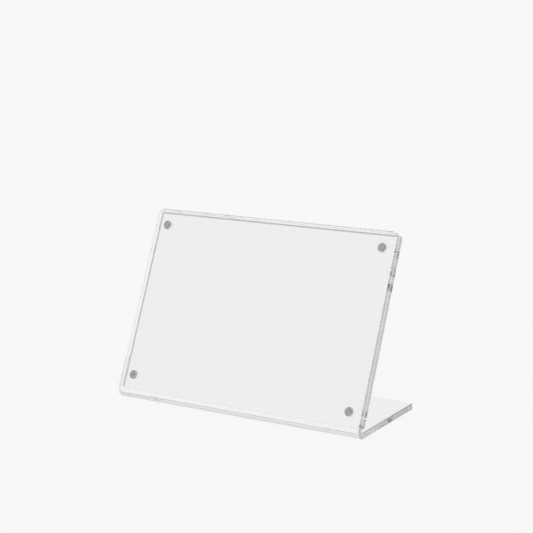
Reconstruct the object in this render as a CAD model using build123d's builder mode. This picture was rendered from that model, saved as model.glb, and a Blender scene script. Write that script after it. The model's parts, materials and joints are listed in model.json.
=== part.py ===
from build123d import *
import os
from math import cos, radians, sin, tan

# Photo stand in clear acrylic. One sheet, line-bent into an L, is both the leaning front panel and
# the foot. A flat plate lies against the back of the panel and is held by four pairs of disc
# magnets, with a photo card clamped between the two and seen through the panel.
#
# Frame: +Z up, the foot rests on Z = 0, X runs along the width and the stand faces -Y. The origin
# is under the middle of the whole stand. Millimetres and degrees.

# Driving dimensions
PANEL_WIDTH = 130.0
PANEL_SLOPE = 96.4          # up the panel's front face, from the sharp corner at the ground
LEAN = 24.0                 # panel from the vertical
FOOT_DEPTH = 59.0           # from the sharp front corner to the end of the foot
SHEET = 3.0                 # thickness of the bent sheet
OUTER_BEND = 5.0            # radius on the outside of the bend
PLATE = 3.0                 # thickness of the back plate
PLATE_WIDTH = 129.8
PLATE_HEIGHT = 89.3
PLATE_BELOW_TOP = 0.3       # from the panel's top edge down to the plate's
PLATE_GAP = 0.30            # panel to plate, the card's space
CARD_WIDTH = 127.0
CARD_HEIGHT = 87.7
CARD = 0.22                 # thickness of the photo card
CARD_BELOW_TOP = 1.35
PANEL_CORNER = 3.0          # top corners of the panel
PLATE_CORNER = 2.0
FOOT_CORNER = 1.0
EDGE_ROUND = 0.25           # polished arris along every sheet edge
MAGNET_DIAMETER = 4.0
MAGNET_LENGTH = 2.0
MAGNET_ARRIS = 0.12
GLUE = 0.10                 # glue film round each magnet
MAGNET_FROM_SIDE = 6.6      # from the panel's side edges
MAGNET_FROM_TOP = 7.6       # from the plate's top edge
MAGNET_FROM_BOTTOM = 6.6    # from the plate's bottom edge

# Derived sizes
lean_sin = sin(radians(LEAN))
lean_cos = cos(radians(LEAN))
bend_tangent = OUTER_BEND / tan(radians(90 - LEAN) / 2)
corner_y = -(FOOT_DEPTH + bend_tangent - OUTER_BEND) / 2
plate_front = -SHEET - PLATE_GAP
plate_top = PANEL_SLOPE - PLATE_BELOW_TOP
plate_bottom = plate_top - PLATE_HEIGHT
card_middle = PANEL_SLOPE - CARD_BELOW_TOP - CARD_HEIGHT / 2
pocket_radius = MAGNET_DIAMETER / 2 + GLUE
pocket_depth = MAGNET_LENGTH + GLUE

# The panel's front face: local X along the width, local Y up the slope, local Z out to the front.
# The panel's rear face is at -SHEET along local Z, the back plate's front face at plate_front.
panel_face = Plane(origin=(0, corner_y, 0), x_dir=(1, 0, 0), z_dir=(0, -lean_cos, lean_sin))

magnet_x = PANEL_WIDTH / 2 - MAGNET_FROM_SIDE
magnet_points = {
    "top_left": (-magnet_x, plate_top - MAGNET_FROM_TOP),
    "top_right": (magnet_x, plate_top - MAGNET_FROM_TOP),
    "bottom_left": (-magnet_x, plate_bottom + MAGNET_FROM_BOTTOM),
    "bottom_right": (magnet_x, plate_bottom + MAGNET_FROM_BOTTOM),
}


def finish(part, name):
    """Name a finished piece and write it to its own file."""
    part.label = name
    export_step(part, f"parts/{name}.step")


def magnet_pockets(mouth, direction):
    """The space to cut away for the four magnets, from a face at height mouth."""
    with BuildPart() as pockets:
        with BuildSketch(panel_face.offset(mouth)):
            with Locations(*magnet_points.values()):
                Circle(pocket_radius)
        extrude(amount=direction * pocket_depth)
    return pockets.part


def make_l_stand():
    """The bent sheet: side profile drawn sharp, bends rounded, extruded over the width."""
    ground_corner = (corner_y, 0)
    foot_end = corner_y + FOOT_DEPTH
    inner_slope = SHEET * (1 + lean_sin) / lean_cos
    inner_corner = (corner_y + SHEET * lean_cos + inner_slope * lean_sin, SHEET)
    top_front = (corner_y + PANEL_SLOPE * lean_sin, PANEL_SLOPE * lean_cos)
    top_rear = (top_front[0] + SHEET * lean_cos, top_front[1] - SHEET * lean_sin)

    with BuildPart() as l_stand:
        with BuildSketch(Plane.YZ) as profile:
            with BuildLine():
                Polyline(
                    ground_corner,
                    (foot_end, 0),
                    (foot_end, SHEET),
                    inner_corner,
                    top_rear,
                    top_front,
                    close=True,
                )
            make_face()
            fillet(profile.vertices().sort_by_distance(ground_corner)[0], OUTER_BEND)
            fillet(profile.vertices().sort_by_distance(inner_corner)[0], OUTER_BEND - SHEET)
        extrude(amount=PANEL_WIDTH / 2, both=True)

        panel_corners = l_stand.edges().filter_by(Axis((0, 0, 0), tuple(panel_face.z_dir)))
        fillet(panel_corners, PANEL_CORNER)
        foot_corners = l_stand.edges().filter_by(Axis.Z)
        fillet(foot_corners, FOOT_CORNER)
        fillet(l_stand.edges().filter_by(sheet_arris), EDGE_ROUND)
        add(magnet_pockets(-SHEET, 1), mode=Mode.SUBTRACT)
    finish(l_stand.part, "l_stand")


def sheet_arris(edge):
    """True for the edges of the bent sheet's two faces, not for those across its thickness."""
    across = edge.length < SHEET + 0.01 and edge.geom_type == GeomType.LINE
    return not across


def make_back_plate():
    """The flat clear plate behind the panel, with a blind pocket for each magnet."""
    with BuildPart() as back_plate:
        with BuildSketch(panel_face.offset(plate_front)):
            with Locations((0, (plate_bottom + plate_top) / 2)):
                RectangleRounded(PLATE_WIDTH, PLATE_HEIGHT, PLATE_CORNER)
        extrude(amount=-PLATE)
        flat_faces = back_plate.faces().sort_by(Axis((0, 0, 0), tuple(panel_face.z_dir)))
        fillet(flat_faces[0].edges() + flat_faces[-1].edges(), EDGE_ROUND)
        add(magnet_pockets(plate_front, -1), mode=Mode.SUBTRACT)
    finish(back_plate.part, "back_plate")


def make_photo_card():
    """The card between the panel and the plate, its lower edge down in the bend."""
    with BuildPart() as photo_card:
        with BuildSketch(panel_face.offset(-SHEET - (PLATE_GAP - CARD) / 2)):
            with Locations((0, card_middle)):
                Rectangle(CARD_WIDTH, CARD_HEIGHT)
        extrude(amount=-CARD)
    finish(photo_card.part, "photo_card")


def make_magnet(name, point, mouth, direction):
    """A plated disc, one face flush with the face its pocket opens in."""
    with BuildPart() as magnet:
        with BuildSketch(panel_face.offset(mouth)):
            with Locations(point):
                Circle(MAGNET_DIAMETER / 2)
        extrude(amount=direction * MAGNET_LENGTH)
        chamfer(magnet.edges().filter_by(GeomType.CIRCLE), MAGNET_ARRIS)
    finish(magnet.part, name)


def make_glue_cup(name, point, mouth, direction):
    """The film under and round a magnet in its blind pocket."""
    with BuildPart() as cup:
        with BuildSketch(panel_face.offset(mouth + direction * MAGNET_ARRIS)):
            with Locations(point):
                Circle(pocket_radius)
        extrude(amount=direction * (pocket_depth - MAGNET_ARRIS))
        with BuildSketch(panel_face.offset(mouth)):
            with Locations(point):
                Circle(MAGNET_DIAMETER / 2)
        extrude(amount=direction * MAGNET_LENGTH, mode=Mode.SUBTRACT)
    finish(cup.part, name)


os.makedirs("parts", exist_ok=True)
make_l_stand()
make_back_plate()
make_photo_card()
for place, point in magnet_points.items():
    make_magnet(f"stand_magnet_{place}", point, -SHEET, 1)
    make_magnet(f"plate_magnet_{place}", point, plate_front, -1)
    make_glue_cup(f"stand_magnet_glue_{place}", point, -SHEET, 1)
    make_glue_cup(f"plate_magnet_glue_{place}", point, plate_front, -1)
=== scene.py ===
import json
from math import cos, pi, radians, sin, tan

import bmesh
import bpy
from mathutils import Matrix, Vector


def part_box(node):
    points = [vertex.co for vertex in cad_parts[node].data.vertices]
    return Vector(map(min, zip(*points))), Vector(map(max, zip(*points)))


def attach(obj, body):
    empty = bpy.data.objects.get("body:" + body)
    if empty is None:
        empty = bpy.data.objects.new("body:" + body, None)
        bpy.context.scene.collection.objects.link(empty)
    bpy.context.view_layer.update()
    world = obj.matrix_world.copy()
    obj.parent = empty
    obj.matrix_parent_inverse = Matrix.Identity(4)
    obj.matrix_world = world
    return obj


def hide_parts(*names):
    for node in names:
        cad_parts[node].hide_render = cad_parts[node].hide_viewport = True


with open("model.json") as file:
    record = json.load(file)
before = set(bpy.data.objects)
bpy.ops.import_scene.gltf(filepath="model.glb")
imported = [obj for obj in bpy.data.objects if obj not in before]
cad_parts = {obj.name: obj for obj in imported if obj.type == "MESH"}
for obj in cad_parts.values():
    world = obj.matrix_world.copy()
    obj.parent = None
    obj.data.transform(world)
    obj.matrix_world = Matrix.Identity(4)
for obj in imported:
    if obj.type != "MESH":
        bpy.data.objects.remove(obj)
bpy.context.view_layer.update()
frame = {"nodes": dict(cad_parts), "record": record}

# The stand's own dimensions, in metres, as the CAD part has them
LEAN = radians(24.0)
PANEL_WIDTH = 0.130
PANEL_SLOPE = 0.0964
FOOT_DEPTH = 0.059
SHEET = 0.003
OUTER_BEND = 0.005
PLATE = 0.003
PLATE_WIDTH = 0.1298
PLATE_HEIGHT = 0.0893
PLATE_BELOW_TOP = 0.0003
PLATE_GAP = 0.0003
PANEL_CORNER = 0.003
PLATE_CORNER = 0.002
FOOT_CORNER = 0.001
ARRIS = 0.00025
POCKET_RADIUS = 0.0021
POCKET_DEPTH = 0.0021
MAGNET_FROM_SIDE = 0.0066
MAGNET_FROM_TOP = 0.0076
MAGNET_FROM_BOTTOM = 0.0066

# How finely the curved shapes are divided
CORNER_STEPS = 20
ARRIS_STEPS = 6
HOLE_STEPS = 64
BEND_STEPS = 40

# Camera: how it stands to the stand, the point it looks at in metres, and its lens in millimetres
CAMERA_AZIMUTH = radians(30.68)
CAMERA_ELEVATION = radians(11.57)
CAMERA_DISTANCE = 0.6626
CAMERA_AIM = Vector((0.0023, -0.0014, 0.0673))
CAMERA_LENS = 95.92
SENSOR_WIDTH = 36.0

# Light: the studio's white, and the share of it at angles (degrees) from where the camera looks
STUDIO_WHITE = 0.947
SHARES = ((180, 1.0), (98, 1.0), (90, 0.8), (50, 0.7), (30, 0.78), (0, 0.78))
FLOOR_GLOW = 0.9            # share of the floor's white that it gives off itself
FLOOR_LEVEL = -0.0001
FLOOR_SIZE = 60.0
SHEET_BOUNCES = 64          # light runs a long way inside the sheets
DIFFUSE_BOUNCES = 8

# Materials
ACRYLIC_IOR = 1.49
ACRYLIC_GREY = (0.8, 0.8, 0.8, 1)
ACRYLIC_DENSITY = 15.0
ADHESIVE_IOR = 1.47
ADHESIVE_CLEARNESS = 0.85
NOISE_LOW = 0.3             # the part of a noise texture's range that is stretched over a blend
NOISE_HIGH = 0.7
NICKEL_DARK = (0.56, 0.54, 0.5)
NICKEL_LIGHT = (0.64, 0.62, 0.58)
CARD_DARK = (0.92, 0.92, 0.92)
CARD_LIGHT = (0.97, 0.97, 0.97)
# Painted shade: the card's colour darkens to this grey along its left and top edges, standing in for
# shade there.
CARD_PAINTED_SHADE = 0.52
PAINTED_SHADE_WIDTH = 0.0007
PAINTED_SHADE_SOFTNESS = 0.3        # how much of its width the painted shade fades over, each way

stand_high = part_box("l_stand")[1]
up_slope = Vector((0, sin(LEAN), cos(LEAN)))
outward = Vector((0, -cos(LEAN), sin(LEAN)))
bend_tangent = OUTER_BEND / tan((pi / 2 - LEAN) / 2)
panel_origin = Vector((0, stand_high.y - FOOT_DEPTH, 0))
plate_top = PANEL_SLOPE - PLATE_BELOW_TOP
plate_bottom = plate_top - PLATE_HEIGHT
camera_back = Vector((
    sin(CAMERA_AZIMUTH) * cos(CAMERA_ELEVATION),
    -cos(CAMERA_AZIMUTH) * cos(CAMERA_ELEVATION),
    sin(CAMERA_ELEVATION),
))


def aim_camera():
    """The camera stands in front and to the right of the stand, a little above it."""
    data = bpy.data.cameras.new("camera")
    data.lens = CAMERA_LENS
    data.sensor_width = SENSOR_WIDTH
    camera = bpy.data.objects.new("camera", data)
    bpy.context.collection.objects.link(camera)
    camera.location = CAMERA_AIM + camera_back * CAMERA_DISTANCE
    camera.rotation_euler = (-camera_back).to_track_quat("-Z", "Y").to_euler()
    bpy.context.scene.camera = camera


def new_material(name):
    """A node material, with its nodes, its links and its shader at hand."""
    material = bpy.data.materials.new(name)
    material.use_nodes = True
    nodes = material.node_tree.nodes
    return material, nodes, material.node_tree.links, nodes["Principled BSDF"]


def noise(nodes, links, scale, detail):
    """A noise texture in the piece's own coordinates, so that it moves with the piece."""
    place = nodes.new("ShaderNodeTexCoord")
    texture = nodes.new("ShaderNodeTexNoise")
    texture.inputs["Scale"].default_value = scale
    texture.inputs["Detail"].default_value = detail
    links.new(place.outputs["Object"], texture.inputs["Vector"])
    return texture.outputs["Fac"]


def vary(nodes, links, source, target, low, high):
    """Drive a shader input between two values from a noise texture."""
    spread = nodes.new("ShaderNodeMapRange")
    spread.inputs["From Min"].default_value = NOISE_LOW
    spread.inputs["From Max"].default_value = NOISE_HIGH
    spread.inputs["To Min"].default_value = low
    spread.inputs["To Max"].default_value = high
    links.new(source, spread.inputs["Value"])
    links.new(spread.outputs["Result"], target)


def vary_color(nodes, links, source, target, dark, light):
    """Blend a shader's colour between two near tones from a noise texture."""
    ramp = nodes.new("ShaderNodeValToRGB")
    ramp.color_ramp.elements[0].position = NOISE_LOW
    ramp.color_ramp.elements[0].color = (*dark, 1)
    ramp.color_ramp.elements[1].position = NOISE_HIGH
    ramp.color_ramp.elements[1].color = (*light, 1)
    links.new(source, ramp.inputs["Fac"])
    links.new(ramp.outputs["Color"], target)


def roughen(nodes, links, source, shader, strength, depth):
    """Fine relief from a noise texture."""
    bump = nodes.new("ShaderNodeBump")
    bump.inputs["Strength"].default_value = strength
    bump.inputs["Distance"].default_value = depth
    links.new(source, bump.inputs["Height"])
    links.new(bump.outputs["Normal"], shader.inputs["Normal"])


def clear_acrylic():
    """Polished acrylic: a faintly uneven tone, a slow waviness, and a grey cast through its depth."""
    material, nodes, links, shader = new_material("clear_acrylic")
    shader.inputs["Transmission Weight"].default_value = 1.0
    shader.inputs["IOR"].default_value = ACRYLIC_IOR
    shader.inputs["Roughness"].default_value = 0.0
    tone = noise(nodes, links, 90.0, 4.0)
    vary_color(nodes, links, tone, shader.inputs["Base Color"], (0.995, 0.995, 0.995), (1, 1, 1))
    roughen(nodes, links, noise(nodes, links, 15.0, 0.0), shader, 0.004, 0.00001)
    absorb = nodes.new("ShaderNodeVolumeAbsorption")
    absorb.inputs["Color"].default_value = ACRYLIC_GREY
    absorb.inputs["Density"].default_value = ACRYLIC_DENSITY
    links.new(absorb.outputs[0], nodes["Material Output"].inputs["Volume"])
    return material


def nickel():
    """Dull nickel plating: warm grey, its grain and roughness uneven."""
    material, nodes, links, shader = new_material("magnet_nickel")
    shader.inputs["Metallic"].default_value = 1.0
    grain = noise(nodes, links, 2500.0, 6.0)
    vary_color(nodes, links, grain, shader.inputs["Base Color"], NICKEL_DARK, NICKEL_LIGHT)
    vary(nodes, links, noise(nodes, links, 700.0, 3.0), shader.inputs["Roughness"], 0.32, 0.48)
    roughen(nodes, links, grain, shader, 0.15, 0.00003)
    return material


def cured_adhesive():
    """Clear adhesive, a little cloudy and full of fine ripples."""
    material, nodes, links, shader = new_material("cured_adhesive")
    shader.inputs["Transmission Weight"].default_value = ADHESIVE_CLEARNESS
    shader.inputs["IOR"].default_value = ADHESIVE_IOR
    clouds = noise(nodes, links, 1200.0, 5.0)
    vary_color(nodes, links, clouds, shader.inputs["Base Color"], (0.80, 0.80, 0.78), (0.90, 0.90, 0.88))
    vary(nodes, links, clouds, shader.inputs["Roughness"], 0.12, 0.3)
    roughen(nodes, links, clouds, shader, 0.2, 0.00004)
    return material


def calculate(nodes, links, operation, first, second):
    """One arithmetic node; each operand is a socket or a number."""
    node = nodes.new("ShaderNodeMath")
    node.operation = operation
    for operand, target in zip((first, second), node.inputs):
        if isinstance(operand, float):
            target.default_value = operand
        else:
            links.new(operand, target)
    return node.outputs[0]


def painted_shade_distance(nodes, links):
    """How far a point of the card is from its left or its top edge, the nearer of the two: this sets
    where the painted shade falls.
    """
    low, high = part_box("photo_card")
    place = nodes.new("ShaderNodeTexCoord")
    axes = nodes.new("ShaderNodeSeparateXYZ")
    links.new(place.outputs["Object"], axes.inputs["Vector"])
    from_left = calculate(nodes, links, "SUBTRACT", axes.outputs["X"], low.x)
    from_top = calculate(nodes, links, "SUBTRACT", high.z, axes.outputs["Z"])
    return calculate(nodes, links, "MINIMUM", from_left, from_top)


def color_socket(sockets, name):
    """A mix node has a socket of each name for every kind of data; this is the colour's."""
    return next(socket for socket in sockets if socket.name == name and socket.type == "RGBA")


def photo_paper():
    """Matt card: fibres in its tone, roughness and relief, and painted shade darkening its colour down
    its left and top.
    """
    material, nodes, links, shader = new_material("photo_paper")
    fibres = noise(nodes, links, 1800.0, 8.0)
    # Painted shade: near its left and top edges the card's fibre colour is blended toward a dark grey.
    blend = nodes.new("ShaderNodeMix")
    blend.data_type = "RGBA"
    color_socket(blend.inputs, "A").default_value = (CARD_PAINTED_SHADE, CARD_PAINTED_SHADE, CARD_PAINTED_SHADE, 1)
    spread = nodes.new("ShaderNodeMapRange")
    spread.inputs["From Min"].default_value = PAINTED_SHADE_WIDTH * (1 - PAINTED_SHADE_SOFTNESS)
    spread.inputs["From Max"].default_value = PAINTED_SHADE_WIDTH * (1 + PAINTED_SHADE_SOFTNESS)
    links.new(painted_shade_distance(nodes, links), spread.inputs["Value"])
    links.new(spread.outputs["Result"], blend.inputs[0])
    vary_color(nodes, links, fibres, color_socket(blend.inputs, "B"), CARD_DARK, CARD_LIGHT)
    links.new(color_socket(blend.outputs, "Result"), shader.inputs["Base Color"])
    vary(nodes, links, fibres, shader.inputs["Roughness"], 0.7, 0.9)
    roughen(nodes, links, fibres, shader, 0.1, 0.00002)
    return material


def floor():
    """A plain pale table that gives off most of its own white, so that shadows hardly show on it."""
    material, nodes, links, shader = new_material("floor")
    pale = 1.0 - FLOOR_GLOW
    shader.inputs["Base Color"].default_value = (pale, pale, pale, 1)
    shader.inputs["Roughness"].default_value = 1.0
    shader.inputs["Specular IOR Level"].default_value = 0.0
    shader.inputs["Emission Color"].default_value = (1, 1, 1, 1)
    shader.inputs["Emission Strength"].default_value = STUDIO_WHITE * FLOOR_GLOW
    bpy.ops.mesh.primitive_plane_add(size=FLOOR_SIZE, location=(0, 0, FLOOR_LEVEL))
    table = bpy.context.object
    table.name = "floor"
    table.data.materials.append(material)


def studio():
    """White light from all round, dimmer over the half that the camera looks toward."""
    world = bpy.data.worlds.new("studio")
    bpy.context.scene.world = world
    world.use_nodes = True
    nodes = world.node_tree.nodes
    links = world.node_tree.links
    place = nodes.new("ShaderNodeTexCoord")
    forward = nodes.new("ShaderNodeVectorMath")
    forward.operation = "DOT_PRODUCT"
    forward.inputs[1].default_value = -camera_back
    links.new(place.outputs["Generated"], forward.inputs[0])
    half = nodes.new("ShaderNodeMath")
    half.operation = "MULTIPLY_ADD"
    half.inputs[1].default_value = 0.5
    half.inputs[2].default_value = 0.5
    links.new(forward.outputs["Value"], half.inputs[0])
    ramp = nodes.new("ShaderNodeValToRGB")
    elements = ramp.color_ramp.elements
    while len(elements) < len(SHARES):
        elements.new(0.5)
    for element, (angle, share) in zip(elements, SHARES):
        element.position = 0.5 + 0.5 * cos(radians(angle))
        element.color = (share, share, share, 1)
    links.new(half.outputs[0], ramp.inputs["Fac"])
    background = nodes["Background"]
    background.inputs["Strength"].default_value = STUDIO_WHITE
    links.new(ramp.outputs["Color"], background.inputs["Color"])


def light_paths():
    """Enough bounces to follow light along the inside of the sheets, and plain colour."""
    rendering = bpy.context.scene.cycles
    rendering.max_bounces = SHEET_BOUNCES
    rendering.transmission_bounces = SHEET_BOUNCES
    rendering.glossy_bounces = SHEET_BOUNCES
    rendering.diffuse_bounces = DIFFUSE_BOUNCES
    rendering.blur_glossy = 0.0
    bpy.context.scene.view_settings.view_transform = "Standard"


# Sheets: each is made flat, with u across the width, v along the sheet and w out of its front
# face, and is then laid in place.

def rounded_outline(width, low, high, low_corner, high_corner, inset):
    """A closed ring of (u, v) points: a rectangle with rounded corners, shrunk by inset."""
    side = width / 2
    corners = (
        (1, high, -1, high_corner, 0.0),
        (-1, high, -1, high_corner, pi / 2),
        (-1, low, 1, low_corner, pi),
        (1, low, 1, low_corner, 3 * pi / 2),
    )
    ring = []
    for hand, end, inward, corner, start in corners:
        for step in range(CORNER_STEPS + 1):
            angle = start + (pi / 2) * step / CORNER_STEPS
            u = hand * (side - corner) + (corner - inset) * cos(angle)
            v = end + inward * corner + (corner - inset) * sin(angle)
            ring.append((u, v))
    return ring


def rim_profile(thickness):
    """(inset, w) pairs down the rim, from the front face round both arrises to the rear face."""
    quarter = [(pi / 2) * step / ARRIS_STEPS for step in range(ARRIS_STEPS + 1)]
    front = [(ARRIS * (1 - sin(a)), -ARRIS * (1 - cos(a))) for a in quarter]
    rear = [(inset, -thickness - w) for inset, w in reversed(front)]
    return front + rear


def add_ring(mesh, points, w):
    """Vertices at the (u, v) points, all at height w."""
    return [mesh.verts.new((u, v, w)) for u, v in points]


def bridge(mesh, upper, lower):
    """A band of four-sided faces between two rings of as many vertices."""
    count = len(upper)
    for i in range(count):
        j = (i + 1) % count
        mesh.faces.new((upper[i], lower[i], lower[j], upper[j]))


def ring_edges(mesh, ring):
    """The edges round a ring, made where they are missing."""
    count = len(ring)
    return [
        mesh.edges.get((ring[i], ring[(i + 1) % count]))
        or mesh.edges.new((ring[i], ring[(i + 1) % count]))
        for i in range(count)
    ]


def circle_points(centre, radius):
    """(u, v) points evenly round a circle."""
    u, v = centre
    angles = [2 * pi * step / HOLE_STEPS for step in range(HOLE_STEPS)]
    return [(u + radius * cos(angle), v + radius * sin(angle)) for angle in angles]


def flat_sheet(width, low, high, low_corner, high_corner, thickness, spots, from_rear):
    """A flat sheet with rounded corners, arrises and blind pockets in its front or rear face."""
    mesh = bmesh.new()
    rings = [
        add_ring(mesh, rounded_outline(width, low, high, low_corner, high_corner, inset), w)
        for inset, w in rim_profile(thickness)
    ]
    for upper, lower in zip(rings, rings[1:]):
        bridge(mesh, upper, lower)
    front_edges = ring_edges(mesh, rings[0])
    rear_edges = ring_edges(mesh, rings[-1])
    for spot in spots:
        points = circle_points(spot, POCKET_RADIUS)
        mouth = add_ring(mesh, points, -thickness if from_rear else 0.0)
        bottom = add_ring(mesh, points, POCKET_DEPTH - thickness if from_rear else -POCKET_DEPTH)
        bridge(mesh, mouth, bottom)
        mesh.faces.new(bottom)
        if from_rear:
            rear_edges += ring_edges(mesh, mouth)
        else:
            front_edges += ring_edges(mesh, mouth)
    for edges in (front_edges, rear_edges):
        bmesh.ops.triangle_fill(mesh, use_beauty=True, use_dissolve=False, edges=edges)
    return mesh


def fold(point, bend_length):
    """Where a point of the flat sheet goes once the sheet is bent: v = 0 is the panel's foot."""
    u, v, w = point
    if v >= 0:
        return panel_point(u, bend_tangent + v, w)
    centre = panel_point(u, bend_tangent, -OUTER_BEND)
    if v >= -bend_length:
        angle = -v / OUTER_BEND
        return centre + (OUTER_BEND + w) * (cos(angle) * outward - sin(angle) * up_slope)
    foot = centre + (OUTER_BEND + w) * Vector((0, 0, -1))
    return foot + Vector((0, -v - bend_length, 0))


def panel_point(u, slope, w):
    """A place in the stand's frame, from one on the leaning panel."""
    return panel_origin + Vector((u, 0, 0)) + slope * up_slope + w * outward


def finish_sheet(mesh, name, body, node):
    """Put a sheet in the scene, flat-shaded, so that its flat faces stay optically flat."""
    bmesh.ops.recalc_face_normals(mesh, faces=mesh.faces)
    for face in mesh.faces:
        face.smooth = False
    data = bpy.data.meshes.new(name)
    mesh.to_mesh(data)
    mesh.free()
    piece = bpy.data.objects.new(name, data)
    bpy.context.collection.objects.link(piece)
    data.materials.append(MATERIALS["clear_acrylic"])
    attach(piece, body)
    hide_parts(node)


def magnet_spots():
    """(u, slope) of the four magnets on the panel."""
    side = PANEL_WIDTH / 2 - MAGNET_FROM_SIDE
    slopes = (plate_top - MAGNET_FROM_TOP, plate_bottom + MAGNET_FROM_BOTTOM)
    return [(sign * side, slope) for slope in slopes for sign in (-1, 1)]


def make_flat_plate():
    """The plate behind the panel, its pockets open to the front."""
    mesh = flat_sheet(
        PLATE_WIDTH, plate_bottom, plate_top, PLATE_CORNER, PLATE_CORNER, PLATE, magnet_spots(), False,
    )
    for vertex in mesh.verts:
        u, v, w = vertex.co
        vertex.co = panel_point(u, v, w - SHEET - PLATE_GAP)
    finish_sheet(mesh, "flat_plate", "plate", "back_plate")


def make_bent_sheet():
    """The panel and the foot in one sheet, the panel's pockets open to the rear."""
    bend_length = OUTER_BEND * (pi / 2 + LEAN)
    foot_length = FOOT_DEPTH - bend_tangent
    spots = [(u, slope - bend_tangent) for u, slope in magnet_spots()]
    mesh = flat_sheet(
        PANEL_WIDTH, -bend_length - foot_length, PANEL_SLOPE - bend_tangent,
        FOOT_CORNER, PANEL_CORNER, SHEET, spots, True,
    )
    for step in range(BEND_STEPS + 1):
        bmesh.ops.bisect_plane(
            mesh,
            geom=mesh.verts[:] + mesh.edges[:] + mesh.faces[:],
            dist=1e-9,
            plane_co=(0, -bend_length * step / BEND_STEPS, 0),
            plane_no=(0, 1, 0),
        )
    for vertex in mesh.verts:
        vertex.co = fold(vertex.co.copy(), bend_length)
    finish_sheet(mesh, "bent_sheet", "stand", "l_stand")


MATERIALS = {
    "clear_acrylic": clear_acrylic(),
    "magnet_nickel": nickel(),
    "cured_adhesive": cured_adhesive(),
    "photo_paper": photo_paper(),
}
for subpart in frame["record"]["subparts"]:
    node = frame["nodes"][subpart["node"]]
    for slot in node.material_slots:
        slot.material = MATERIALS[subpart["material_slot"]]

aim_camera()
floor()
studio()
light_paths()
make_flat_plate()
make_bent_sheet()
